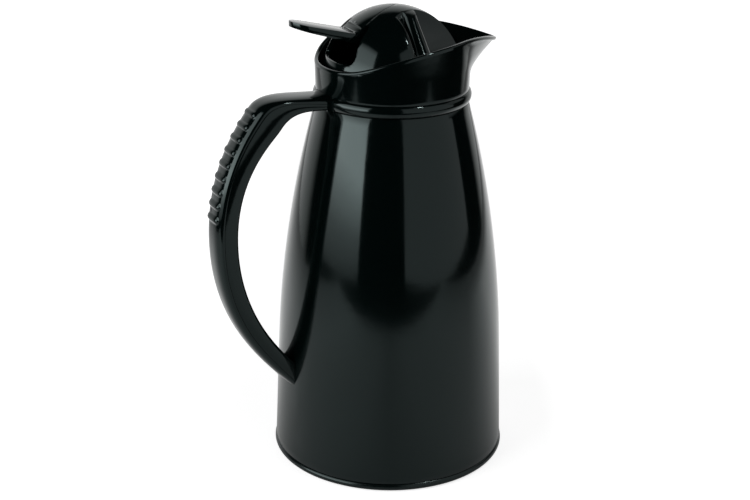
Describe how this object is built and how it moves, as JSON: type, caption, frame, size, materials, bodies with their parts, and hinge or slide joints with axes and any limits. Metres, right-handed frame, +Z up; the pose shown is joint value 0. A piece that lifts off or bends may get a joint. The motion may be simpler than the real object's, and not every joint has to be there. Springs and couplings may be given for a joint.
{
  "type": "thermal carafe",
  "caption": "Vacuum-flask carafe with a swept ribbed handle, a pouring lip and a screw-in domed lid whose thumb lever opens a spring-closed valve.",
  "frame": {"origin": "centre of the standing face, on the body's axis", "axes": "+Z up along the body's axis, +X towards the spout, handle at -X"},
  "size_m": [0.1832, 0.14, 0.2716],
  "materials": {
    "body_plastic": "gloss, slightly satin low down",
    "lid_plastic": "gloss",
    "rubber": "matt silicone",
    "silvered_glass": "silvered between the walls",
    "steel": "plain",
    "valve_plastic": "food-safe, matt"
  },
  "bodies": {
    "carafe": {"outer_shell": "body_plastic", "base_cap": "body_plastic", "base_gasket": "rubber", "support_pad": "rubber", "flask_outer": "silvered_glass", "flask_inner": "silvered_glass", "flask_spacers": "rubber", "flask_seal": "rubber", "pouring_collar": "body_plastic", "handle_shell": "body_plastic", "handle_insert": "body_plastic", "handle_screw": "steel"},
    "stopper_seal": {"stopper_gasket": "rubber"},
    "lid": {"stopper_body": "lid_plastic", "lid_dome": "lid_plastic", "lid_screws": "steel", "lever_pin": "steel", "valve_spring": "steel"},
    "lever": {"thumb_lever": "lid_plastic"},
    "valve": {"valve_stem": "steel", "stem_cap": "valve_plastic", "valve_disc": "valve_plastic", "valve_gasket": "rubber"}
  },
  "joints": [
    {"name": "lid_lift", "type": "slide", "parent": "carafe", "child": "stopper_seal", "axis": [0, 0, 1], "range_m": [0, 0.072]},
    {"name": "lid_turn", "type": "hinge", "parent": "stopper_seal", "child": "lid", "pos_m": [0, 0, 0.234], "axis": [0, 0, 1], "range_deg": [0, 720]},
    {"name": "lever_press", "type": "hinge", "parent": "lid", "child": "lever", "pos_m": [0.012, 0, 0.257], "axis": [0, -1, 0], "range_deg": [0, 13.5]},
    {"name": "valve_open", "type": "slide", "parent": "lid", "child": "valve", "axis": [0, 0, -1], "range_m": [0, 0.00283], "stiffness_N_per_m": 900, "springref_m": -0.003, "deforming": ["valve_spring"]}
  ],
  "couplings": [
    {"joint": "lid_turn", "follows": "lid_lift", "rad_per_m": 174.53},
    {"joint": "lever_press", "follows": "valve_open", "rad_per_m": 83.33}
  ]
}
